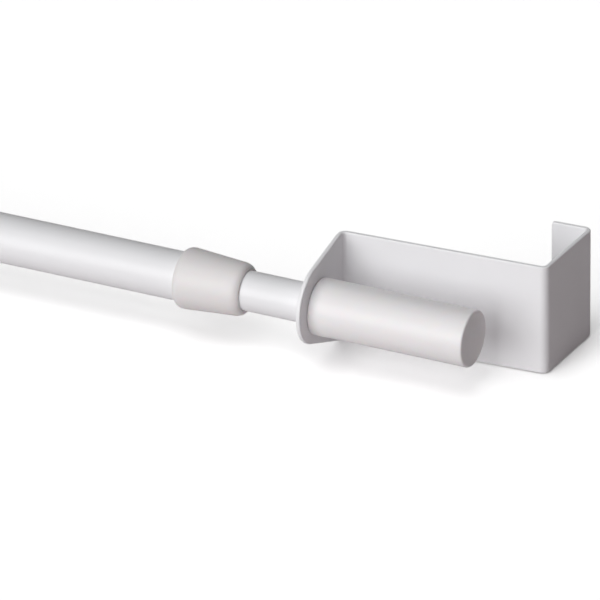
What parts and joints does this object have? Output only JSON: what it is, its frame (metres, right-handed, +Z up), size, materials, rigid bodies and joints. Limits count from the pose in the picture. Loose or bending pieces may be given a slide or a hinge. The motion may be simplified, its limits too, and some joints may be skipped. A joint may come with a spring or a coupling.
{
  "type": "spring tension rod",
  "caption": "White telescopic window rod drawn together by an inner extension spring, with folded steel brackets that hook round the sash and long end caps.",
  "frame": {"origin": "on the rod's axis, at the middle of the outer tube", "axes": "+X along the rod towards the sliding inner tube, +Y from the rod towards the brackets' plates and the window sash, +Z up"},
  "size_m": [0.3964, 0.0515, 0.0281],
  "materials": {
    "coated_tube": "satin white coat on steel tube",
    "coated_strip": "satin white powder coat on steel strip",
    "moulded_white": "satin white moulded plastic",
    "natural_plug": "natural moulded plastic",
    "pin_steel": "bright turned steel",
    "spring_steel": "drawn spring wire"
  },
  "bodies": {
    "left_bracket": {"left_bracket": "coated_strip"},
    "rod": {"outer_tube": "coated_tube", "step_sleeve": "moulded_white", "left_cap": "moulded_white", "spring_anchor": "natural_plug", "anchor_pin": "pin_steel", "spring": "spring_steel"},
    "slider": {"inner_tube": "coated_tube", "right_cap": "moulded_white", "spring_guide": "natural_plug", "guide_pin": "pin_steel"},
    "right_bracket": {"right_bracket": "coated_strip"}
  },
  "joints": [
    {"name": "rod_turn", "type": "hinge", "parent": "left_bracket", "child": "rod", "pos_m": [-0.11595, 0, 0], "axis": [1, 0, 0], "continuous": true},
    {"name": "rod_pull", "type": "slide", "parent": "rod", "child": "slider", "axis": [1, 0, 0], "range_m": [0, 0.06], "stiffness_N_per_m": 480, "springref_m": -0.006, "deforming": ["spring"]},
    {"name": "right_bracket_turn", "type": "hinge", "parent": "slider", "child": "right_bracket", "pos_m": [0.1748, 0, 0], "axis": [1, 0, 0], "continuous": true}
  ]
}
